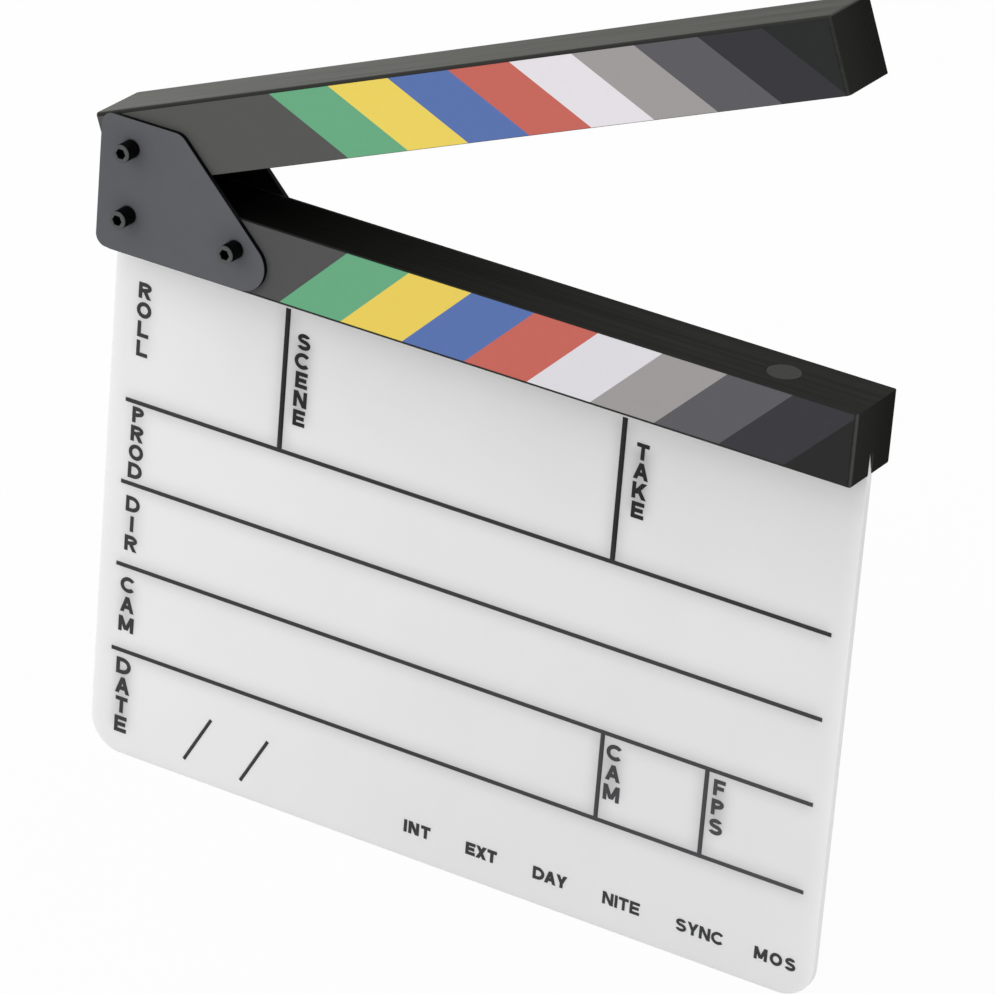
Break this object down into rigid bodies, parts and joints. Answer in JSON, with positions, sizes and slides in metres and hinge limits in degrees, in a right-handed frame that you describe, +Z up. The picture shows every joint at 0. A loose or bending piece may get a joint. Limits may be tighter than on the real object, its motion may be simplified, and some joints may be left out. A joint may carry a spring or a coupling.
{
  "type": "clapperboard",
  "caption": "Film slate: a frosted board with ruled fields in a slotted stick, and a striped clap stick hinged above it between side plates.",
  "frame": {"origin": "middle of the board's bottom edge", "axes": "+X along the sticks from the hinge end, +Y from the written face to the back, +Z up the board"},
  "size_m": [0.3041, 0.0449, 0.3601],
  "materials": {
    "acrylic": "frosted white acrylic",
    "stick_wood": "hardwood, matte black paint",
    "stripe_vinyl": "printed vinyl with slanted colour and grey bars",
    "plate_metal": "matte dark grey coat",
    "screw_steel": "black oxide",
    "nut_steel": "black zinc",
    "bush_brass": "turned brass",
    "washer_nylon": "natural nylon",
    "magnet_nickel": "dull nickel plate"
  },
  "bodies": {
    "slate": {"acrylic_board": "acrylic", "lower_stick": "stick_wood", "lower_stripe_label": "stripe_vinyl", "front_hinge_plate": "plate_metal", "rear_hinge_plate": "plate_metal", "pivot_screw": "screw_steel", "left_hinge_screw": "screw_steel", "right_hinge_screw": "screw_steel", "pivot_lock_nut": "nut_steel", "left_lock_nut": "nut_steel", "right_lock_nut": "nut_steel", "pivot_rear_washer": "nut_steel", "left_rear_washer": "nut_steel", "right_rear_washer": "nut_steel", "lower_magnet": "magnet_nickel"},
    "clap_stick": {"upper_stick": "stick_wood", "upper_stripe_label": "stripe_vinyl", "upper_magnet": "magnet_nickel", "pivot_bush": "bush_brass", "front_friction_washer": "washer_nylon", "rear_friction_washer": "washer_nylon"}
  },
  "joints": [
    {"name": "clap_hinge", "type": "hinge", "parent": "slate", "child": "clap_stick", "pos_m": [-0.137, 0, 0.2413], "axis": [0, -1, 0], "range_deg": [-21.8, 68.2]}
  ]
}
